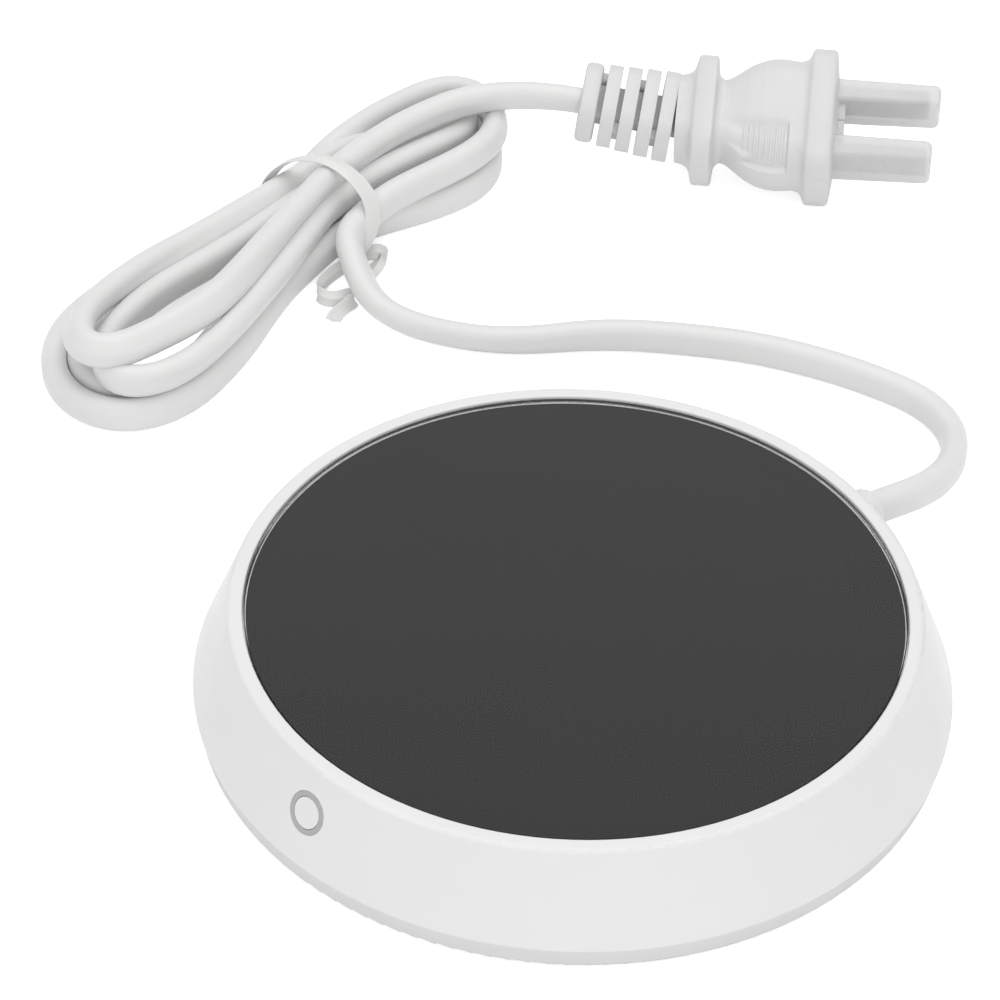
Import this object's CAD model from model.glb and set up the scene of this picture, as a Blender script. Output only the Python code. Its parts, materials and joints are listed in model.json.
"""Electric mug warmer: camera, cord, twist tie, plug, blade sleeves, materials and light.

Lengths are in millimetres until mm() turns them into metres. In the plug's frame x runs out
along the blades from the plug's face, y runs across them, and z is up before the plug's roll.
"""

import json
import math

import bmesh
import bpy
import numpy as np
from mathutils import Matrix, Vector


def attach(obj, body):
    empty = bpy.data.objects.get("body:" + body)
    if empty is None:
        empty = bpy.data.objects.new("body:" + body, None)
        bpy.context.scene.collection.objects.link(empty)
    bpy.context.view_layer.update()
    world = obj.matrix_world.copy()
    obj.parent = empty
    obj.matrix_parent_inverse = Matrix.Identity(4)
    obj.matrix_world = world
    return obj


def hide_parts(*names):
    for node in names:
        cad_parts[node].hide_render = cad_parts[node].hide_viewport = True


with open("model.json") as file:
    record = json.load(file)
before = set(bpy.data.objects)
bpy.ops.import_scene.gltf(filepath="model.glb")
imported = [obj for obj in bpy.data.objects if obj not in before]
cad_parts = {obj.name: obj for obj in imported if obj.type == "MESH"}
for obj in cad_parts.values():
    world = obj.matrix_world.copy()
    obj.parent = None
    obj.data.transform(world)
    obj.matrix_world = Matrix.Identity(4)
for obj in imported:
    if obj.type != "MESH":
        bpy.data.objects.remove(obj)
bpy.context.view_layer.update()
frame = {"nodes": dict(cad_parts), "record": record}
nodes = frame["nodes"]
bpy.context.scene.view_settings.view_transform = "Standard"


def mm(v):
    """A place in mm as one in metres."""
    return tuple(0.001 * float(c) for c in v)


def turned(degrees, axis):
    return Matrix.Rotation(math.radians(degrees), 4, axis)


def add_object(name, data):
    made = bpy.data.objects.new(name, data)
    bpy.context.scene.collection.objects.link(made)
    return made


# ------------------------------------------------------------------ camera
CAMERA_AT = (251.2, -277.6, 348.91)
CAMERA_TURN, CAMERA_PITCH, CAMERA_ROLL = 44.0, 39.558, 1.3218
CAMERA_LENS, SENSOR_WIDTH = 115.2, 36
CLIP_START, CLIP_END = 0.01, 50


def make_camera():
    data = bpy.data.cameras.new("camera")
    data.lens = CAMERA_LENS
    data.sensor_width = SENSOR_WIDTH
    data.clip_start, data.clip_end = CLIP_START, CLIP_END
    camera = add_object("camera", data)
    camera.matrix_world = (
        Matrix.Translation(mm(CAMERA_AT))
        @ turned(CAMERA_TURN, "Z")
        @ turned(90 - CAMERA_PITCH, "X")
        @ turned(CAMERA_ROLL, "Z")
    )
    bpy.context.scene.camera = camera


make_camera()


# ------------------------------------------------------------------ mesh helpers
def mesh_piece(name, verts, faces, sharp, body="base"):
    """A smooth piece from points in mm, riding on a body; edges over sharp degrees stay hard."""
    mesh = bpy.data.meshes.new(name)
    mesh.from_pydata([mm(v) for v in verts], [], faces)
    build = bmesh.new()
    build.from_mesh(mesh)
    bmesh.ops.recalc_face_normals(build, faces=build.faces)
    for face in build.faces:
        face.smooth = True
    for edge in build.edges:
        if len(edge.link_faces) == 2 and edge.calc_face_angle(0) > math.radians(sharp):
            edge.smooth = False
    build.to_mesh(mesh)
    build.free()
    piece = add_object(name, mesh)
    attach(piece, body)
    return piece


def skin(rings):
    """Points and faces of a closed tube over rings that all have the same number of points."""
    n = len(rings[0])
    verts = [p for ring in rings for p in ring]
    faces = [
        (i * n + k, i * n + (k + 1) % n, (i + 1) * n + (k + 1) % n, (i + 1) * n + k)
        for i in range(len(rings) - 1)
        for k in range(n)
    ]
    faces += [tuple(range(n)), tuple((len(rings) - 1) * n + k for k in range(n))]
    return verts, faces


def joined(parts):
    """The points and faces of several closed parts as one."""
    verts, faces = [], []
    for v, f in parts:
        faces += [tuple(len(verts) + k for k in face) for face in f]
        verts += v
    return verts, faces


def unit(v):
    return v / np.linalg.norm(v, axis=-1, keepdims=True)


def catmull(points, step):
    """A smooth line through rows of numbers, whose first three are a place in mm."""
    p = np.array(points, float)
    p = np.vstack([2 * p[0] - p[1], p, 2 * p[-1] - p[-2]])
    out = []
    for a, b, c, d in zip(p, p[1:], p[2:], p[3:]):
        n = max(1, round(float(np.linalg.norm(c[:3] - b[:3])) / step))
        knots = [0.0]
        for u, v in ((a, b), (b, c), (c, d)):
            knots.append(knots[-1] + max(1e-3, float(np.linalg.norm(v[:3] - u[:3]))) ** 0.5)
        t0, t1, t2, t3 = knots
        for t in np.linspace(t1, t2, n, endpoint=False):
            a1 = (t1 - t) / (t1 - t0) * a + (t - t0) / (t1 - t0) * b
            a2 = (t2 - t) / (t2 - t1) * b + (t - t1) / (t2 - t1) * c
            a3 = (t3 - t) / (t3 - t2) * c + (t - t2) / (t3 - t2) * d
            b1 = (t2 - t) / (t2 - t0) * a1 + (t - t0) / (t2 - t0) * a2
            b2 = (t3 - t) / (t3 - t1) * a2 + (t - t1) / (t3 - t1) * a3
            out.append((t2 - t) / (t2 - t1) * b1 + (t - t1) / (t2 - t1) * b2)
    out.append(p[-2])
    return np.array(out)


def even(line, step):
    """The same line with its points step apart."""
    at = np.concatenate([[0], np.cumsum(np.linalg.norm(np.diff(line[:, :3], axis=0), axis=1))])
    n = max(2, round(at[-1] / step))
    to = np.linspace(0, at[-1], n + 1)
    return np.column_stack([np.interp(to, at, line[:, k]) for k in range(line.shape[1])])


def relax(line, passes):
    """Rounds off small kinks; the ends stay."""
    line = line.copy()
    for _ in range(passes):
        line[1:-1] = 0.25 * line[:-2] + 0.5 * line[1:-1] + 0.25 * line[2:]
    return line


# ------------------------------------------------------------------ plug's place
PLUG_AT = (-67.3, 141.5, 12.1)
PLUG_HEADING, PLUG_TILT, PLUG_ROLL = 37.5, -1.5, 25
PLUG_FRAME = (
    Matrix.Translation(PLUG_AT)
    @ turned(PLUG_HEADING, "Z")
    @ turned(PLUG_TILT, "Y")
    @ turned(PLUG_ROLL, "X")
)
UNROLL = turned(-PLUG_ROLL, "X")
# The strain relief: its start behind the face, its slots' pitch, number and width, its rise.
RELIEF_START, RELIEF_PITCH, RELIEF_SLOTS, RELIEF_GAP, RELIEF_TILT = 29.5, 3.65, 5, 0.9, 8.1


def plug_pt(v):
    return list(PLUG_FRAME @ Vector(v))


def relief_pt(n, x=0.0):
    """A point on the strain relief's middle line, x past its slot n, in the plug's frame."""
    back = n * RELIEF_PITCH + x
    up = back * math.sin(math.radians(RELIEF_TILT))
    return UNROLL @ Vector((-(RELIEF_START + back), 0, up))


# ------------------------------------------------------------------ cord
CORD_W, CORD_H = 4.6, 6.2
CORD_SIDES = 28
CORD_STEP = 1.4
CORD_PASSES = 6
# The exit: its direction and height, the radii of the jacket's end and of the housing's skin,
# and how far the cord goes straight out.
EXIT_ANGLE, EXIT_Z, JACKET_END, EXIT_SKIN, EXIT_STRAIGHT = 80, 10, 45, 58.209, 3


def exit_pt(r):
    a = math.radians(EXIT_ANGLE)
    return [r * math.cos(a), r * math.sin(a), EXIT_Z]


# Places on the cord's middle line, with the lean of its wide side from upright in degrees.
# On the free run the third number is the gap under the cord instead.
FREE_RUN = [
    (11.6, 65.5, 6.3, 0), (11.8, 71, 5, 0), (11.2, 77, 3.4, 0), (9.5, 83, 2, 0), (7, 88, 1, 0),
    (3, 92.8, 0.3, 0), (-2.5, 95.8, 0, 0), (-9, 96.6, 0, 0), (-16, 95.4, 0, 0), (-23, 93.6, 0, 0),
    (-30, 91, 0, 0), (-37, 87.8, 0, 0), (-44, 83.4, 0, 0), (-50.5, 78.6, 0, 0), (-57, 73.2, 0, 5),
    (-62.8, 66.8, 0, 15), (-67.9, 59.9, 0, 32), (-73.8, 54.3, 0, 42), (-80.3, 50.3, 0, 45),
    (-86.7, 47.5, 0.2, 45), (-93.2, 46.2, 1, 45), (-98.6, 47.4, 2.2, 40), (-104.1, 50.1, 3.6, 30),
    (-109.3, 53.2, 4.9, 18),
]
RIGHT_LOOP_TOP = [
    (-110.9, 58.5, 8.4, 5), (-111.8, 65.3, 9.1, 8), (-111.7, 71, 9.3, 8), (-111.1, 79, 9.4, 10),
    (-110.9, 86.4, 9.4, 10), (-112, 92.6, 9.3, 10), (-114.3, 97.2, 9, 10), (-118, 101, 8.9, 10),
    (-122.6, 103.4, 9, 10), (-127.2, 103.6, 9.2, 10), (-130.4, 101.6, 9.4, 8),
    (-132.3, 98.2, 9.4, 6), (-133, 94, 9.4, 5), (-133.3, 89, 9.4, 5), (-133.3, 83, 9.4, 5),
    (-132.8, 77.4, 9.3, 4), (-132.2, 72, 8.9, 2), (-131.6, 67, 7.9, 0), (-131, 62, 6.1, 0),
]
LEFT_LOOP_OUTER = [
    (-130.4, 56, 4.4, 0), (-130.7, 50, 3.4, 0), (-131.2, 43, 3.1, 0), (-131.8, 34, 3.1, 0),
    (-132, 25, 3.1, 0), (-131.4, 15, 3.1, 0), (-129.8, 6.4, 3.1, 0), (-127.6, 0.4, 3.1, 0),
    (-124.7, -3.8, 3.1, 0), (-121.2, -7.2, 3.1, 0), (-117, -9.6, 3.1, 0), (-112.5, -10.8, 3.1, 0),
    (-107.6, -10.6, 3.1, 2), (-102.2, -8, 3.1, 4), (-98.8, -2.8, 3.1, 5), (-98, 5.2, 3.1, 5),
    (-99.8, 13, 3.1, 5), (-103.3, 22.4, 3.1, 5), (-107.8, 31.6, 3.1, 5), (-111.3, 40.2, 3.1, 5),
    (-113.2, 47.5, 3.2, 4), (-114.6, 53.5, 3.3, 2),
]
RIGHT_LOOP_LOW = [
    (-115.2, 58.4, 3.3, 0), (-114.3, 65.4, 3.2, 0), (-112.6, 71, 3.1, 0), (-110.7, 78.2, 3.1, 0),
    (-109.9, 85, 3.1, 0), (-110.7, 90.6, 3.1, 0), (-113.2, 95, 3.1, 0), (-117, 98.6, 3.1, 0),
    (-121.6, 101.2, 3.1, 0), (-126.6, 101.6, 3.1, 0), (-130.8, 99.2, 3.1, 0),
    (-133.4, 94.6, 3.1, 0), (-134.4, 88.6, 3.1, 0), (-134.2, 82, 3.1, 0), (-133, 76, 3.1, 0),
    (-130.9, 70.6, 3.1, 0), (-128.2, 65.4, 3.1, 0), (-126, 60.4, 3.3, 0),
]
LEFT_LOOP_INNER = [
    (-125.3, 55, 3.5, 0), (-125.8, 48, 3.2, 0), (-126.6, 39, 3.1, 0), (-126.9, 30, 3.1, 0),
    (-126.5, 20, 3.1, 0), (-125.4, 10.6, 3.1, 0), (-123.5, 3.2, 3.1, 0), (-120, -2.3, 3.1, 0),
    (-115.3, -5.2, 3.1, 0), (-110.4, -6, 3.1, 0), (-106.2, -4.2, 3.1, 0), (-103.8, 0, 3.1, 0),
    (-103.2, 6, 3.1, 0), (-105, 13.4, 3.1, 0), (-108.6, 21.8, 3.1, 0), (-112.8, 30.4, 3.1, 0),
    (-116.4, 39, 3.1, 0), (-119, 48, 3.2, 0),
]
RIGHT_LOOP_INNER = [
    (-120.2, 56.6, 3.3, 0), (-119.6, 64, 3.2, 0), (-118.8, 70.6, 3.1, 0), (-118.6, 75.8, 3.1, 0),
    (-119.6, 79.8, 3.1, 0), (-122.2, 81.6, 3.2, 0), (-125, 79.8, 3.5, 0), (-125.9, 74.8, 4.4, 0),
    (-125, 69, 6, 0), (-123.8, 63.6, 7.8, 0),
]
LEFT_LOOP_NESTED = [
    (-123, 57.6, 8.9, 0), (-122, 52, 9.1, 0), (-121.2, 45, 8.9, 0), (-120.4, 37.4, 8.8, 0),
    (-119.9, 30, 8.8, 0), (-119.5, 22.4, 8.9, -2), (-118.8, 15, 9.1, -4), (-117, 7.6, 9.2, -6),
    (-114.8, 1.6, 9.2, -8), (-111.3, -3.5, 9.2, -8), (-107.2, -6.4, 9.2, -8),
    (-103.3, -6.4, 9.2, -8), (-100.4, -3.7, 9.2, -10), (-98.8, 0.9, 9.2, -12),
    (-98.9, 6.9, 9.2, -18), (-100.2, 13.1, 9.2, -24), (-102.5, 20.3, 9.2, -24),
    (-105.5, 28, 9.2, -20), (-109.2, 37.2, 9.2, -14), (-112.4, 44.4, 9.2, -12),
    (-115.4, 50.8, 9.1, -12),
]
RIGHT_LOOP_NESTED = [
    (-118, 57.6, 9, -10), (-118.7, 63, 9.1, -8), (-119.2, 69, 9.1, -6), (-119.1, 75, 9, -4),
    (-118.9, 81, 8.8, -2), (-118.8, 87, 8.4, 0), (-119.1, 92.4, 8, 0), (-120.6, 96.4, 7.6, 0),
    (-123.8, 98.4, 6.7, 0), (-127.2, 96.4, 5.2, 0), (-129, 91.6, 4.2, 0), (-129.5, 86, 4.4, 0),
    (-129.3, 81, 5.8, 0), (-128.9, 76, 7.9, -6), (-128.5, 70.6, 9.3, -14), (-128, 64.6, 9.8, -22),
]
LEFT_LOOP_TOP = [
    (-127.3, 58.6, 9.7, -30), (-126.6, 51.5, 9.6, -38), (-126.2, 44.6, 9.7, -38),
    (-125.6, 37.6, 9.9, -36), (-125, 31.2, 10.2, -32), (-124.4, 25.8, 10.7, -26),
    (-123.8, 20.3, 11.3, -16), (-122.9, 14.8, 11.9, -4), (-121.6, 8.8, 12.5, 8),
    (-120, 3, 13.1, 20), (-117.8, -2.2, 13.6, 32), (-114.4, -6.5, 13.9, 40),
    (-110.3, -8.6, 13.9, 44), (-106.9, -7.4, 13.9, 44), (-105, -4, 13.9, 42),
    (-104.5, 0.2, 13.9, 40), (-104.2, 5, 13.9, 40), (-104.1, 11, 13.9, 40), (-105, 17.6, 13.9, 36),
    (-107.3, 25, 13.9, 26), (-110, 32, 13.9, 10), (-112.9, 39.4, 13.9, -8),
    (-116.2, 47.9, 13.9, -18), (-118.6, 55, 14, -20),
]
PLUG_LEAD = [
    (-119.9, 60.4, 14.1, -20), (-120.9, 65.6, 14.1, -18), (-121.7, 71.4, 14.1, -16),
    (-122.2, 78.2, 14.2, -14), (-122, 84.5, 14.2, -12), (-121.5, 89.2, 14.3, -10),
    (-120.4, 93.6, 14.4, -12), (-118.6, 97.8, 14.4, -18), (-115.9, 102.4, 14.3, -24),
    (-112.4, 106.5, 14, -30),
]
# Into the strain relief: how far past its last slot, and the lean there.
INTO_PLUG = ((4, -38), (0, -42), (-1.5, -42))


def cord_route():
    inside = [
        exit_pt(r) + [0]
        for r in (JACKET_END, (JACKET_END + EXIT_SKIN) / 2, EXIT_SKIN + EXIT_STRAIGHT)
    ]
    free = [
        (x, y, z + CORD_W / 2 + (CORD_H - CORD_W) / 2 * math.cos(math.radians(lean)), lean)
        for x, y, z, lean in FREE_RUN
    ]
    loops = [
        RIGHT_LOOP_TOP, LEFT_LOOP_OUTER, RIGHT_LOOP_LOW, LEFT_LOOP_INNER, RIGHT_LOOP_INNER,
        LEFT_LOOP_NESTED, RIGHT_LOOP_NESTED, LEFT_LOOP_TOP, PLUG_LEAD,
    ]
    into_plug = [
        plug_pt(relief_pt(RELIEF_SLOTS - 1, RELIEF_PITCH + x)) + [lean] for x, lean in INTO_PLUG
    ]
    line = catmull(inside + free + [p for loop in loops for p in loop] + into_plug, CORD_STEP)
    return even(relax(even(line, CORD_STEP), CORD_PASSES), CORD_STEP)


def cord_section():
    """The flat cord's outline: two half rounds with flats between; (thin, wide) pairs."""
    r, flat = CORD_W / 2, (CORD_H - CORD_W) / 2
    out = []
    for k in range(CORD_SIDES):
        a = 2 * math.pi * (k + 0.5) / CORD_SIDES
        out.append((r * math.cos(a), r * math.sin(a) + math.copysign(flat, math.sin(a))))
    return np.array(out)


def sweep_rings(line, section):
    """A ring of the section at each row of line, leaning by the row's fourth number."""
    p, lean = line[:, :3], np.radians(line[:, 3])
    t = unit(np.gradient(p, axis=0))
    side = unit(np.cross([0, 0, 1], t))
    up = np.cross(t, side)
    c, s = np.cos(lean)[:, None], np.sin(lean)[:, None]
    wide, thin = c * up + s * side, c * side - s * up
    return [[p[i] + u * thin[i] + v * wide[i] for u, v in section] for i in range(len(p))]


def make_cord():
    line = cord_route()
    verts, faces = skin(sweep_rings(line, cord_section()))
    piece = mesh_piece("mains_cord", verts, faces, sharp=60)
    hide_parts("cord_free_run", "cord_hank", "cord_plug_run")
    return piece, line


cord, CORD_LINE = make_cord()


# ------------------------------------------------------------------ twist tie
TIE_DRAWN_STEP, TIE_STEP, TIE_PASSES = 0.6, 0.5, 3
# The strip's outline: two thin wings with a raised core between.
TIE_SECTION = [
    (-1.5, -0.06), (-1.44, -0.12), (-0.55, -0.16), (-0.3, -0.3), (0, -0.4), (0.3, -0.3),
    (0.55, -0.16), (1.44, -0.12), (1.5, -0.06), (1.5, 0.06), (1.44, 0.12), (0.55, 0.16),
    (0.3, 0.3), (0, 0.4), (-0.3, 0.3), (-0.55, 0.16), (-1.44, 0.12), (-1.5, 0.06),
]
# Rows: a place, then the direction of the strip's width.
TIE_BAND = [
    (-108.4, 55.2, 3.2, 0.3, 1, 0.2), (-107.8, 56.1, 5.2, 0.3, 1, 0.1),
    (-107.6, 57.7, 8.2, 0.3, 1, 0), (-108.4, 59, 10.8, 0.3, 1, 0), (-110, 59.6, 13.4, 0.3, 1, 0),
    (-112.2, 59.4, 15.4, 0.25, 1, 0), (-115.2, 58.9, 17, 0.2, 1, 0),
    (-118.8, 58.2, 17.7, 0.2, 1, 0), (-122.4, 56.8, 17.5, 0.15, 1, 0),
    (-125.5, 55.2, 16.4, 0.1, 1, 0), (-128, 54.3, 14.4, 0.1, 1, 0), (-129.9, 53.7, 12, 0.1, 1, 0),
    (-131.4, 53.5, 9.4, 0.1, 1, 0), (-132.6, 53.6, 6.8, 0, 1, 0), (-132.7, 54, 4, 0, 1, 0),
    (-131.6, 54.6, 1.6, 0, 1, 0), (-129, 55.2, 0.5, 0, 1, 0), (-124, 55.8, 0.45, 0, 1, 0),
    (-117, 56.4, 0.45, 0, 1, 0), (-112, 56, 0.5, 0, 1, 0), (-109.6, 55.4, 1.2, 0, 1, 0.2),
    (-108.6, 55, 2.4, 0.1, 1, 0.4),
]
TIE_TAIL_RIGHT = [
    (-109.6, 54.2, 1.6, -0.44, 0.46, 0.77), (-109.7, 57.1, 2.0, -0.44, 0.46, 0.77),
    (-108.5, 58.5, 2.2, -0.44, 0.46, 0.77), (-107.7, 59.9, 2.3, -0.44, 0.46, 0.77),
    (-107.2, 60.4, 2.0, -0.44, 0.46, 0.77), (-106.6, 59.9, 1.7, 0, 0.7, 0.7),
    (-106.3, 59.0, 1.4, 0.5, 0.6, 0.4), (-105.7, 57.4, 1.1, 0.72, 0.69, 0.1),
    (-105.0, 55.3, 0.9, 0.72, 0.69, 0.1), (-104.3, 52.8, 0.7, 0.72, 0.69, 0.1),
    (-103.8, 50.3, 0.6, 0.72, 0.69, 0.1),
]
TIE_TAIL_LEFT = [
    (-109.1, 55.2, 2.3, -0.3, -0.3, 1), (-108.9, 52.5, 2.2, -0.3, -0.3, 1),
    (-108.7, 49.5, 2.1, -0.3, -0.3, 1), (-108.3, 46.9, 2.0, -0.3, -0.3, 1),
    (-107.5, 44.5, 1.8, -0.3, -0.1, 1), (-106.5, 43.3, 1.5, -0.44, 0.46, 0.77),
    (-105.1, 43.2, 1.3, -0.44, 0.46, 0.77), (-103.7, 44.1, 1.2, -0.44, 0.46, 0.77),
    (-102.6, 45.8, 1.2, -0.44, 0.46, 0.77), (-102.1, 47.4, 1.3, -0.44, 0.46, 0.77),
    (-101.3, 47.4, 1.1, -0.7, 0.5, 0.6), (-100.7, 45.4, 0.9, -0.9, 0.3, 0.3),
    (-100.6, 43.5, 0.8, -1, 0, 0.1), (-100.2, 41.8, 0.7, -1, 0, 0.1),
    (-99.4, 40.4, 0.6, -1, 0, 0.1),
]


def ribbon(rows):
    """Rings of the strip along rows: its middle line, and its width square to that."""
    line = relax(even(catmull(rows, TIE_DRAWN_STEP), TIE_STEP), TIE_PASSES)
    p = line[:, :3]
    t = unit(np.gradient(p, axis=0))
    w = line[:, 3:6]
    w = unit(w - (w * t).sum(1, keepdims=True) * t)
    n = np.cross(t, w)
    return [[p[i] + u * w[i] + v * n[i] for u, v in TIE_SECTION] for i in range(len(p))]


def make_tie():
    strips = (TIE_BAND, TIE_TAIL_RIGHT, TIE_TAIL_LEFT)
    verts, faces = joined([skin(ribbon(rows)) for rows in strips])
    piece = mesh_piece("twist_tie_strip", verts, faces, sharp=40)
    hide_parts("twist_tie")
    return piece


tie = make_tie()


# ------------------------------------------------------------------ plug body
# Sections: distance behind the flange's face, long side, short side, corner radius.
PLUG_SECTIONS = [
    (-0.55, 28.3, 14.8, 3.9), (-0.37, 28.95, 15.45, 4.25), (0.1, 29.5, 16, 4.5), (3.7, 29.5, 16, 4.5),
    (4.1, 29.1, 15.6, 4.4), (4.35, 28.3, 15, 4.6), (4.6, 27.3, 14.4, 5), (5.2, 26.6, 13.9, 5.8),
    (6.4, 26.2, 13.8, 6.2), (8, 26.6, 14, 6.4), (9.7, 27, 14.1, 6.5), (11.4, 26.8, 14, 6.5),
    (13, 26.1, 13.6, 6.3), (14.6, 24.8, 13, 6.1), (16, 23.2, 12.4, 5.8), (17.3, 21.2, 11.6, 5.4),
    (18.4, 19.4, 11, 5.1), (19.5, 17.9, 10.4, 4.9), (20.4, 17.1, 10.05, 4.8), (21, 17.1, 10.1, 4.8),
    (21.65, 18, 10.7, 4.9), (22, 19.6, 11.6, 5), (22.15, 22, 13, 5), (22.25, 24.2, 14, 5),
    (22.55, 25.1, 14.5, 5), (25.7, 25.1, 14.5, 5), (26.1, 24.6, 14, 5), (26.3, 23, 13.4, 5),
    (26.6, 20.6, 12.6, 5.1), (27.2, 18.8, 12, 5.1), (28.2, 17.7, 11.7, 5), (29.5, 17.3, 11.5, 5),
]
SHELL_POINTS = 168
# The face swells forward by FACE_DOME over rings of these sizes.
FACE_DOME = 1.1
FACE_RINGS = (0.06, 0.3, 0.55, 0.75, 0.9)
# The long sides swell by CROWN at the middle, and by nothing CROWN_PAST beyond their flats.
CROWN, CROWN_PAST = 0.4, 3
# The grip: from and to behind the face, its depth, and the lengths over which it fades.
GRIP_FROM, GRIP_TO, GRIP_DEPTH = 7.5, 20.6, 1.05
GRIP_FADE_IN, GRIP_FADE_OUT = 0.45, 6
GRIP_RING_STEP = 0.13
# Its ribs, which bow by RIB_BOW about the share RIB_MIDDLE of the half width.
RIB_FROM, RIB_TO, RIB_COUNT, RIB_HEIGHT = 8.3, 16.6, 8, 0.3
RIB_BOW, RIB_MIDDLE, RIB_LEVEL, RIB_WAVE = 0.5, 0.7, 0.5, 0.9
# Where grip and ribs begin across the plug: start and fade, as shares of the half sides.
GRIP_OUT, GRIP_UP = (0.2, 0.24), (0.46, 0.07)
RIB_OUT, RIB_UP = (0.34, 0.08), (0.6, 0.08)
# The metal bridge inside the plug: half its sides, and the plastic that stays over it.
BRIDGE_HALF, BRIDGE_COVER = (10, 4), 0.12


def rounded(l, w, r, corner=7, at=0.0):
    """A rounded rectangle's outline in (y, z), centred at y = at."""
    out = []
    for cy, cz, start in ((1, 1, 0), (-1, 1, 90), (-1, -1, 180), (1, -1, 270)):
        for k in range(corner + 1):
            a = math.radians(start + 90 * k / corner)
            out.append(
                (at + cy * (l / 2 - r) + r * math.cos(a), cz * (w / 2 - r) + r * math.sin(a))
            )
    return out


def rounded_even(l, w, r, count):
    """The same outline with count points spread evenly, each with its outward direction."""
    flat_l, flat_w, arc = l - 2 * r, w - 2 * r, math.pi * r / 2
    out = []
    for k in range(count):
        quarter, t = divmod((k + 0.5) / count * 4, 1)
        at = t * (arc + (flat_l + flat_w) / 2)
        cy, cz = ((1, 1), (-1, 1), (-1, -1), (1, -1))[int(quarter)]
        first = flat_w / 2 if cy == cz else flat_l / 2
        turn = min(1.0, max(0.0, (at - first) / arc)) * math.pi / 2 + quarter * math.pi / 2
        slide = min(0.0, at - first) + max(0.0, at - first - arc)
        y = cy * flat_l / 2 + r * math.cos(turn) - slide * math.sin(turn)
        z = cz * flat_w / 2 + r * math.sin(turn) + slide * math.cos(turn)
        out.append((y, z, math.cos(turn), math.sin(turn)))
    return out


def smooth_step(x):
    x = min(1.0, max(0.0, x))
    return x * x * (3 - 2 * x)


def fade(value, edge):
    start, width = edge
    return smooth_step((value - start) / width)


def grip_depth(back, y, z, half_l, half_w):
    """How far the finger grip goes in: one on the near upper edge, one across from it."""
    if y * z > 0 or not GRIP_FROM < back < GRIP_TO:
        return 0.0
    out, up = abs(y) / half_l, abs(z) / half_w
    side = fade(out, GRIP_OUT) * fade(up, GRIP_UP)
    along = fade(back, (GRIP_FROM, GRIP_FADE_IN)) * smooth_step((GRIP_TO - back) / GRIP_FADE_OUT)
    scoop = GRIP_DEPTH * along * side
    if RIB_FROM < back < RIB_TO:
        bow = RIB_BOW * (out - RIB_MIDDLE) ** 2
        turn = (back - RIB_FROM + bow) / (RIB_TO - RIB_FROM) * RIB_COUNT
        band = fade(out, RIB_OUT) * fade(up, RIB_UP)
        wave = smooth_step(RIB_LEVEL - RIB_WAVE * math.cos(2 * math.pi * turn))
        scoop -= RIB_HEIGHT * band * along * wave
    clear = math.hypot(max(0.0, abs(y) - BRIDGE_HALF[0]), max(0.0, abs(z) - BRIDGE_HALF[1]))
    return min(scoop, max(0.0, clear - BRIDGE_COVER))


def plug_shell():
    """Flange, bulb with its two grips, and collar."""
    table = np.array(PLUG_SECTIONS)
    grip_backs = np.round(np.arange(GRIP_FROM, GRIP_TO, GRIP_RING_STEP), 3)
    rings = []
    for s in FACE_RINGS:
        l, w, r = PLUG_SECTIONS[0][1:]
        forward = FACE_DOME * (1 - s * s) - PLUG_SECTIONS[0][0]
        rings.append(
            [plug_pt((forward, s * y, s * z)) for y, z, _, _ in rounded_even(l, w, r, SHELL_POINTS)]
        )
    for back in sorted(set(table[:, 0]) | set(grip_backs)):
        l, w, r = (float(np.interp(back, table[:, 0], table[:, k])) for k in (1, 2, 3))
        ring = []
        for y, z, out_y, out_z in rounded_even(l, w, r, SHELL_POINTS):
            cut = grip_depth(back, y, z, l / 2, w / 2)
            crown = CROWN * max(0.0, 1 - abs(y) / (l / 2 - r + CROWN_PAST)) * abs(out_z)
            ring.append(
                plug_pt((-back, y - cut * out_y, z - cut * out_z + math.copysign(crown, z)))
            )
        rings.append(ring)
    return skin(rings)


# ------------------------------------------------------------------ plug's strain relief
# Ribs: the first one's sides, and how much less each next one has.
RELIEF_LONG, RELIEF_LONG_STEP, RELIEF_SHORT, RELIEF_SHORT_STEP = 17.8, 0.5, 11.4, 0.12
RELIEF_CORNER, RELIEF_EASE, LAST_RIB, LAST_RIB_EASE = 4.8, 0.14, 3.5, 0.9
# The core runs through them all, and a web crosses each slot on alternate sides.
CORE_LONG, CORE_SHORT, CORE_CORNER, CORE_BEFORE, CORE_PAST = 8.4, 2.6, 1.2, 0.4, 0.3
WEB_AT, WEB_WIDTH, WEB_HEIGHT, WEB_CORNER, WEB_BITE = 5.3, 2.2, 3.4, 0.5, 0.2
FINE_EASE = 0.1
# An eased edge: in along the axis, and off the side, in units of its ease.
EASED_EDGE = ((0, 2), (0.3, 0.6), (1, 0))


def relief_frame(n):
    """The frame at slot n of the strain relief, turned along its middle line."""
    bend, roll = turned(RELIEF_TILT, "Y"), turned(PLUG_ROLL, "X")
    return PLUG_FRAME @ Matrix.Translation(relief_pt(n)) @ UNROLL @ bend @ roll


def lozenge(place, start, stop, l, w, r, ease, at=0.0):
    """A rounded slab from start to stop behind the frame's origin, with eased edges."""
    steps = [(start + a * ease, less * ease) for a, less in EASED_EDGE]
    steps += [(stop - a * ease, less * ease) for a, less in reversed(EASED_EDGE)]
    return skin([
        [
            list(place @ Vector((-back, y, z)))
            for y, z in rounded(l - less, w - less, r - less / 2, at=at)
        ]
        for back, less in steps
    ])


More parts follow.
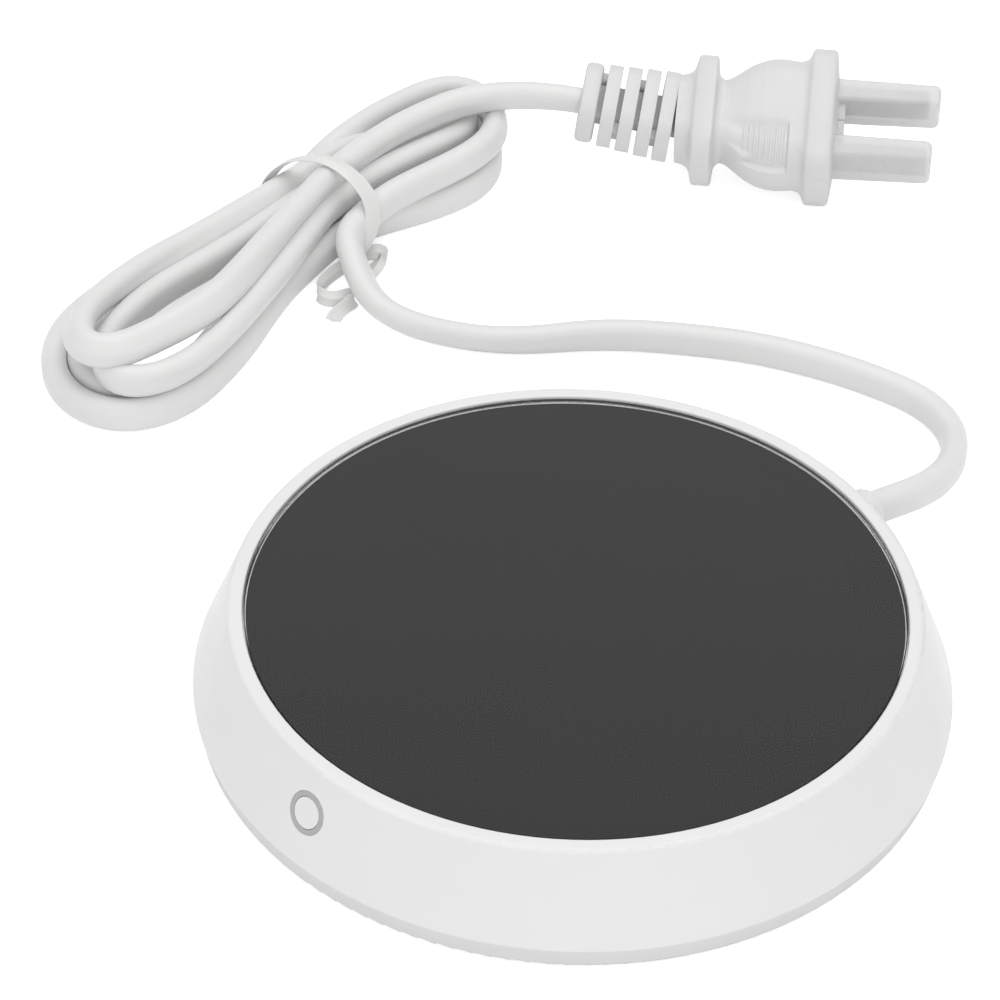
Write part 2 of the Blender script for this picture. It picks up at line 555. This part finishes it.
def relief_parts():
    parts = []
    for n in range(RELIEF_SLOTS):
        place = relief_frame(n)
        last = n == RELIEF_SLOTS - 1
        parts.append(
            lozenge(
                place, -CORE_BEFORE, RELIEF_PITCH + CORE_PAST,
                CORE_LONG, CORE_SHORT, CORE_CORNER, FINE_EASE,
            )
        )
        parts.append(
            lozenge(
                place, RELIEF_GAP, RELIEF_GAP + LAST_RIB if last else RELIEF_PITCH,
                RELIEF_LONG - n * RELIEF_LONG_STEP, RELIEF_SHORT - n * RELIEF_SHORT_STEP,
                RELIEF_CORNER, LAST_RIB_EASE if last else RELIEF_EASE,
            )
        )
        parts.append(
            lozenge(
                place, -WEB_BITE, RELIEF_GAP + WEB_BITE,
                WEB_WIDTH, WEB_HEIGHT, WEB_CORNER, FINE_EASE, -WEB_AT if n % 2 else WEB_AT,
            )
        )
    return parts


def make_plug():
    verts, faces = joined([plug_shell(), *relief_parts()])
    piece = mesh_piece("plug_moulding", verts, faces, sharp=38)
    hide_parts("plug_body")
    return piece


plug = make_plug()


# ------------------------------------------------------------------ sleeves
# Name, body, CAD node, middle across the plug, length, and which side the root tab is on.
SLEEVES = (
    ("sleeve_cap_far", "sleeve_far", "blade_sleeve_far", 6.2, 20.8, -1),
    ("sleeve_cap_near", "sleeve_near", "blade_sleeve_near", -6.4, 19.7, 1),
)
# Half the blades' pitch.
BLADE_AT = 6.35
# Outside: across and high at the root and at the tip, with rings at these places.
SLEEVE_ROOT, SLEEVE_TIP, SLEEVE_CORNER = (5.0, 9.6), (4.5, 9.3), 0.9
SLEEVE_RINGS = (0, 4, 8, 12, 16)
# Before the tip, and how much narrower the sleeve is there.
SLEEVE_END = ((1.2, 0), (0.75, 0.12), (0.35, 0.5), (0.1, 1.0), (0, 1.7))
# Hollow: across and high, with rings at these places, and how much narrower it is there.
SLEEVE_BORE, BORE_CORNER, BORE_DEPTH = (2.3, 7.3), 0.6, 18.7
BORE_RINGS = ((BORE_DEPTH, 1.0), (BORE_DEPTH - 0.15, 0.3), (BORE_DEPTH - 0.5, 0), (0.02, 0))
# Each sleeve's half of the strip at the root: a hair short of the middle, and into the sleeve.
TAB_THICK, TAB_HEIGHT, TAB_CORNER, TAB_EDGE = 2.7, 6.4, 0.3, 0.2
TAB_SHORT, TAB_BITE = 0.04, 0.3


def sleeve_ring(x, across, high, corner, at, points=6):
    return [plug_pt((x, y, z)) for y, z in rounded(across, high, corner, points, at)]


def make_sleeve(name, body, node, at, length, tab_side):
    blade_at = math.copysign(BLADE_AT, at)
    rings = [
        sleeve_ring(x, *(side - less for side in SLEEVE_BORE), BORE_CORNER, blade_at)
        for x, less in BORE_RINGS
    ]
    outside = [(x, 0) for x in SLEEVE_RINGS]
    outside += [(length - before, less) for before, less in SLEEVE_END]
    for x, less in outside:
        k = x / length
        size = [r + (t - r) * k - less for r, t in zip(SLEEVE_ROOT, SLEEVE_TIP)]
        rings.append(sleeve_ring(x, *size, SLEEVE_CORNER, at))
    inner, outer = sorted(
        (TAB_SHORT * -tab_side, at + tab_side * (SLEEVE_ROOT[0] / 2 - TAB_BITE))
    )
    tab = [
        sleeve_ring(x, outer - inner, TAB_HEIGHT, TAB_CORNER, (inner + outer) / 2, points=3)
        for x in (0.0, TAB_THICK - TAB_EDGE, TAB_THICK)
    ]
    verts, faces = joined([skin(rings), skin(tab)])
    piece = mesh_piece(name, verts, faces, sharp=50, body=body)
    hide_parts(node)
    return piece


sleeves = [make_sleeve(*row) for row in SLEEVES]


# ------------------------------------------------------------------ materials
WHITE_ABS = (0.8, 0.8, 0.8)
COVER_ABS = (0.7, 0.7, 0.705)
CORD_PVC = (0.77, 0.77, 0.765)
PLUG_PVC = (0.7, 0.7, 0.7)
GLASS_TINT, GLASS_SHADOW = (0.96, 0.98, 0.98), (0.94, 0.95, 0.95)
ENAMEL, ENAMEL_DARK, ENAMEL_BRIGHT = (
    (0.004, 0.004, 0.0043), (0.0037, 0.0037, 0.004), (0.0043, 0.0043, 0.0046)
)
SLEEVE_MILK, SLEEVE_ROUGH, SLEEVE_ALPHA = (0.77, 0.77, 0.77), 0.3, 0.7
# Noise: the roughness of its detail, and the span in which most of its values lie.
GRAIN_ROUGH, GRAIN_SPAN = 0.6, (0.3, 0.7)
# A tone or a gloss: its noise's scale per metre and detail, then its two ends, which are
# factors on the colour or steps from the roughness.
ABS_TONE_GRAIN, ABS_GLOSS = (55, 4), (140, 5, -0.05, 0.06)
VINYL_TONE, VINYL_GLOSS = (70, 4, 0.985, 1.012), (260, 4, -0.07, 0.07)
SLEEVE_TONE, SLEEVE_GLOSS = (300, 3, 0.97, 1.03), (400, 4, -0.04, 0.06)
# A bump: its noise's scale per metre and detail, and its depth in mm.
ABS_BUMP_DETAIL, VINYL_BUMP = 2, (900, 3, 0.012)
METAL_STREAKS, METAL_DETAIL, METAL_DEPTH = (900, 60, 900), 3, 0.004
METAL_TONE, METAL_GLOSS = (0.9, 1.05), (-0.06, 0.1)


def new_material(name, color, roughness):
    material = bpy.data.materials.new(name)
    material.use_nodes = True
    tree = material.node_tree
    shader = tree.nodes["Principled BSDF"]
    shader.inputs["Base Color"].default_value = (*color, 1)
    shader.inputs["Roughness"].default_value = roughness
    return material, tree, shader


def shade(color, k):
    return tuple(min(1.0, c * k) for c in color)


def grain(tree, scale, detail):
    """Noise over the object's own coordinates, in metres."""
    where = tree.nodes.new("ShaderNodeTexCoord")
    noise = tree.nodes.new("ShaderNodeTexNoise")
    noise.inputs["Scale"].default_value = scale
    noise.inputs["Detail"].default_value = detail
    noise.inputs["Roughness"].default_value = GRAIN_ROUGH
    tree.links.new(where.outputs["Object"], noise.inputs["Vector"])
    return noise.outputs["Fac"]


def spread_to(tree, value, low, high, socket):
    """Maps a noise's span to low and high, numbers or colours, and links it to a socket."""
    if isinstance(low, tuple):
        ramp = tree.nodes.new("ShaderNodeValToRGB")
        for stop, place, color in zip(ramp.color_ramp.elements, GRAIN_SPAN, (low, high)):
            stop.position = place
            stop.color = (*color, 1)
        tree.links.new(value, ramp.inputs["Fac"])
        tree.links.new(ramp.outputs["Color"], socket)
        return
    span = tree.nodes.new("ShaderNodeMapRange")
    span.inputs["From Min"].default_value = GRAIN_SPAN[0]
    span.inputs["From Max"].default_value = GRAIN_SPAN[1]
    span.inputs["To Min"].default_value = low
    span.inputs["To Max"].default_value = high
    tree.links.new(value, span.inputs["Value"])
    tree.links.new(span.outputs["Result"], socket)


def vary(tree, shader, color, roughness, tone, gloss):
    """Uneven tone and gloss over a material of this colour and roughness."""
    scale, detail, dark, bright = tone
    tint = shader.inputs["Base Color"]
    spread_to(tree, grain(tree, scale, detail), shade(color, dark), shade(color, bright), tint)
    scale, detail, low, high = gloss
    rough = shader.inputs["Roughness"]
    spread_to(tree, grain(tree, scale, detail), roughness + low, roughness + high, rough)


def bump(tree, shader, value, depth_mm):
    node = tree.nodes.new("ShaderNodeBump")
    node.inputs["Strength"].default_value = 1
    node.inputs["Distance"].default_value = depth_mm * 0.001
    tree.links.new(value, node.inputs["Height"])
    tree.links.new(node.outputs["Normal"], shader.inputs["Normal"])


def moulded(name, color, roughness, texture=2600, depth=0.006, cloud=0.012, coat=0.0):
    """A moulded plastic: fine mould texture, faint clouding and uneven gloss."""
    material, tree, shader = new_material(name, color, roughness)
    tone = (*ABS_TONE_GRAIN, 1 - cloud, 1 + cloud)
    vary(tree, shader, color, roughness, tone, ABS_GLOSS)
    bump(tree, shader, grain(tree, texture, ABS_BUMP_DETAIL), depth)
    shader.inputs["IOR"].default_value = 1.46
    shader.inputs["Coat Weight"].default_value = coat
    shader.inputs["Coat Roughness"].default_value = 0.25
    return material


def soft_vinyl(name, color, roughness):
    """Soft PVC: some light under the skin, uneven gloss and a shallow, coarser bump."""
    material, tree, shader = new_material(name, color, roughness)
    vary(tree, shader, color, roughness, VINYL_TONE, VINYL_GLOSS)
    scale, detail, depth = VINYL_BUMP
    bump(tree, shader, grain(tree, scale, detail), depth)
    shader.inputs["Subsurface Weight"].default_value = 0.12
    shader.inputs["Subsurface Radius"].default_value = (0.0012, 0.0011, 0.001)
    shader.inputs["Subsurface Scale"].default_value = 1.0
    shader.inputs["IOR"].default_value = 1.5
    return material


def metal(name, color, roughness):
    """Metal with fine streaks along y in its tone, gloss and surface."""
    material, tree, shader = new_material(name, color, roughness)
    shader.inputs["Metallic"].default_value = 1
    where = tree.nodes.new("ShaderNodeTexCoord")
    mapping = tree.nodes.new("ShaderNodeMapping")
    mapping.inputs["Scale"].default_value = METAL_STREAKS
    noise = tree.nodes.new("ShaderNodeTexNoise")
    noise.inputs["Scale"].default_value = 1
    noise.inputs["Detail"].default_value = METAL_DETAIL
    tree.links.new(where.outputs["Object"], mapping.inputs["Vector"])
    tree.links.new(mapping.outputs["Vector"], noise.inputs["Vector"])
    streaks = noise.outputs["Fac"]
    low, high = (roughness + step for step in METAL_GLOSS)
    spread_to(tree, streaks, low, high, shader.inputs["Roughness"])
    dark, bright = (shade(color, k) for k in METAL_TONE)
    spread_to(tree, streaks, dark, bright, shader.inputs["Base Color"])
    bump(tree, shader, streaks, METAL_DEPTH)
    return material


def let_light_through(tree, shader, tint):
    """Shadow rays pass through a clear piece instead of stopping at it."""
    path = tree.nodes.new("ShaderNodeLightPath")
    clear = tree.nodes.new("ShaderNodeBsdfTransparent")
    clear.inputs["Color"].default_value = (*tint, 1)
    mix = tree.nodes.new("ShaderNodeMixShader")
    tree.links.new(path.outputs["Is Shadow Ray"], mix.inputs["Fac"])
    tree.links.new(shader.outputs["BSDF"], mix.inputs[1])
    tree.links.new(clear.outputs["BSDF"], mix.inputs[2])
    tree.links.new(mix.outputs["Shader"], tree.nodes["Material Output"].inputs["Surface"])


def clear_glass():
    """The plate's glass, with a faint change of gloss."""
    material, tree, shader = new_material("glass", GLASS_TINT, 0.015)
    shader.inputs["Transmission Weight"].default_value = 1
    shader.inputs["IOR"].default_value = 1.5
    shader.inputs["Specular IOR Level"].default_value = 0.13
    spread_to(tree, grain(tree, 60, 3), 0.0, 0.008, shader.inputs["Roughness"])
    let_light_through(tree, shader, GLASS_SHADOW)
    return material


def gloss_enamel():
    """Black ceramic print fired on the glass, with a faint change of tone."""
    material, tree, shader = new_material("enamel", ENAMEL, 0.3)
    spread_to(tree, grain(tree, 40, 3), ENAMEL_DARK, ENAMEL_BRIGHT, shader.inputs["Base Color"])
    shader.inputs["Specular IOR Level"].default_value = 0.1
    return material


def sleeve_plastic():
    """A soft clear sleeve: milky, with the blade showing through."""
    material, tree, shader = new_material("sleeve_clear", SLEEVE_MILK, SLEEVE_ROUGH)
    vary(tree, shader, SLEEVE_MILK, SLEEVE_ROUGH, SLEEVE_TONE, SLEEVE_GLOSS)
    shader.inputs["IOR"].default_value = 1.4
    shader.inputs["Alpha"].default_value = SLEEVE_ALPHA
    return material


MATERIALS = {
    "housing": moulded("housing", WHITE_ABS, 0.42, coat=0.08),
    "base": moulded("base", COVER_ABS, 0.48),
    "glass": clear_glass(),
    "enamel": gloss_enamel(),
    "silicone": moulded("silicone", (0.75, 0.75, 0.73), 0.6, texture=900),
    "spreader": metal("spreader", (0.86, 0.87, 0.88), 0.35),
    "mica": moulded("mica", (0.55, 0.45, 0.33), 0.5, texture=600, cloud=0.15),
    "felt": moulded("felt", (0.82, 0.8, 0.75), 0.9, texture=1500, depth=0.08, cloud=0.06),
    "steel": metal("steel", (0.62, 0.62, 0.63), 0.34),
    "rubber_feet": moulded("rubber_feet", (0.045, 0.045, 0.047), 0.7, texture=1200, cloud=0.1),
    "button": moulded("button", WHITE_ABS, 0.4, coat=0.08),
    "light_guide": moulded("light_guide", (0.42, 0.42, 0.42), 0.3),
    "board": moulded("board", (0.03, 0.2, 0.09), 0.4, texture=700, cloud=0.12),
    "black_plastic": moulded("black_plastic", (0.03, 0.03, 0.032), 0.5, cloud=0.1),
    "ivory_plastic": moulded("ivory_plastic", (0.78, 0.75, 0.65), 0.5),
    "green_plastic": moulded("green_plastic", (0.06, 0.4, 0.2), 0.45),
    "yellow_plastic": moulded("yellow_plastic", (0.8, 0.55, 0.08), 0.45),
    "capacitor_can": metal("capacitor_can", (0.55, 0.57, 0.62), 0.3),
    "fuse_glass": moulded("fuse_glass", (0.75, 0.78, 0.78), 0.12, coat=0.5),
    "wire_white": soft_vinyl("wire_white", (0.82, 0.82, 0.8), 0.4),
    "wire_brown": soft_vinyl("wire_brown", (0.25, 0.12, 0.06), 0.4),
    "cord_white": soft_vinyl("cord_white", CORD_PVC, 0.42),
    "plug_white": soft_vinyl("plug_white", PLUG_PVC, 0.46),
    "tie_white": soft_vinyl("tie_white", (0.76, 0.76, 0.75), 0.36),
    "blade_metal": metal("blade_metal", (0.6, 0.6, 0.59), 0.28),
    "sleeve_clear": sleeve_plastic(),
}
slot_of = {p["node"]: p["material_slot"] for p in frame["record"]["subparts"]}
for name, node in nodes.items():
    node.data.materials.clear()
    node.data.materials.append(MATERIALS[slot_of[name]])
for piece, slot in ((cord, "cord_white"), (tie, "tie_white"), (plug, "plug_white")):
    piece.data.materials.append(MATERIALS[slot])
for piece in sleeves:
    piece.data.materials.append(MATERIALS["sleeve_clear"])


# ------------------------------------------------------------------ stage and light
TABLE_COLOR, TABLE_ROUGH, TABLE_REACH = (0.86, 0.86, 0.86), 0.7, 4.0
TABLE_DARK, TABLE_BRIGHT = (0.85, 0.85, 0.85), (0.87, 0.87, 0.87)
FLOOR_GLOW = 0.6
WORLD_LIGHT = 0.56
# Name, place and aim in metres, side, watts, and whether gloss mirrors it. From behind, the
# front light's mirror image would turn the black plate white.
LIGHTS = (
    ("top_light", (-0.2, 0.25, 1.3), (-0.03, 0.04, 0), 1.2, 7.6, True),
    ("front_light", (0.9, -0.9, 0.7), (0, 0, 0.01), 0.8, 6, False),
)


def seen_ray(tree):
    """One for a ray from the camera, off a gloss or through glass, else nought."""
    path = tree.nodes.new("ShaderNodeLightPath")
    seen = path.outputs["Is Camera Ray"]
    for also in ("Is Glossy Ray", "Is Transmission Ray"):
        higher = tree.nodes.new("ShaderNodeMath")
        higher.operation = "MAXIMUM"
        tree.links.new(seen, higher.inputs[0])
        tree.links.new(path.outputs[also], higher.inputs[1])
        seen = higher.outputs["Value"]
    return seen


def floor_material():
    """A white table that glows for seen rays only, so that the object's shadow stays on it."""
    material, tree, shader = new_material("table_white", TABLE_COLOR, TABLE_ROUGH)
    spread_to(tree, grain(tree, 8, 3), TABLE_DARK, TABLE_BRIGHT, shader.inputs["Base Color"])
    shader.inputs["Specular IOR Level"].default_value = 0.2
    glow = tree.nodes.new("ShaderNodeEmission")
    glow.inputs["Strength"].default_value = FLOOR_GLOW
    black = tree.nodes.new("ShaderNodeEmission")
    black.inputs["Strength"].default_value = 0
    pick = tree.nodes.new("ShaderNodeMixShader")
    add = tree.nodes.new("ShaderNodeAddShader")
    tree.links.new(seen_ray(tree), pick.inputs["Fac"])
    tree.links.new(black.outputs["Emission"], pick.inputs[1])
    tree.links.new(glow.outputs["Emission"], pick.inputs[2])
    tree.links.new(shader.outputs["BSDF"], add.inputs[0])
    tree.links.new(pick.outputs["Shader"], add.inputs[1])
    tree.links.new(add.outputs["Shader"], tree.nodes["Material Output"].inputs["Surface"])
    return material


def make_floor():
    mesh = bpy.data.meshes.new("table")
    corners = ((-1, -1), (1, -1), (1, 1), (-1, 1))
    verts = [(x * TABLE_REACH, y * TABLE_REACH, 0) for x, y in corners]
    mesh.from_pydata(verts, [], [(0, 1, 2, 3)])
    floor = add_object("table", mesh)
    mesh.materials.append(floor_material())


def make_world():
    """A plain white world: dimmer as light than as background."""
    world = bpy.data.worlds.new("studio")
    bpy.context.scene.world = world
    world.use_nodes = True
    tree = world.node_tree
    light = tree.nodes["Background"]
    white = tree.nodes.new("ShaderNodeBackground")
    for sky, strength in ((light, WORLD_LIGHT), (white, 1)):
        sky.inputs["Color"].default_value = (1, 1, 1, 1)
        sky.inputs["Strength"].default_value = strength
    pick = tree.nodes.new("ShaderNodeMixShader")
    tree.links.new(seen_ray(tree), pick.inputs["Fac"])
    tree.links.new(light.outputs["Background"], pick.inputs[1])
    tree.links.new(white.outputs["Background"], pick.inputs[2])
    tree.links.new(pick.outputs["Shader"], tree.nodes["World Output"].inputs["Surface"])


def make_light(name, at, aim, size, watts, mirrored):
    data = bpy.data.lights.new(name, "AREA")
    data.shape = "SQUARE"
    data.size = size
    data.energy = watts
    lamp = add_object(name, data)
    lamp.location = at
    lamp.visible_glossy = mirrored
    lamp.rotation_euler = (Vector(aim) - Vector(at)).to_track_quat("-Z", "Y").to_euler()


make_floor()
make_world()
for row in LIGHTS:
    make_light(*row)
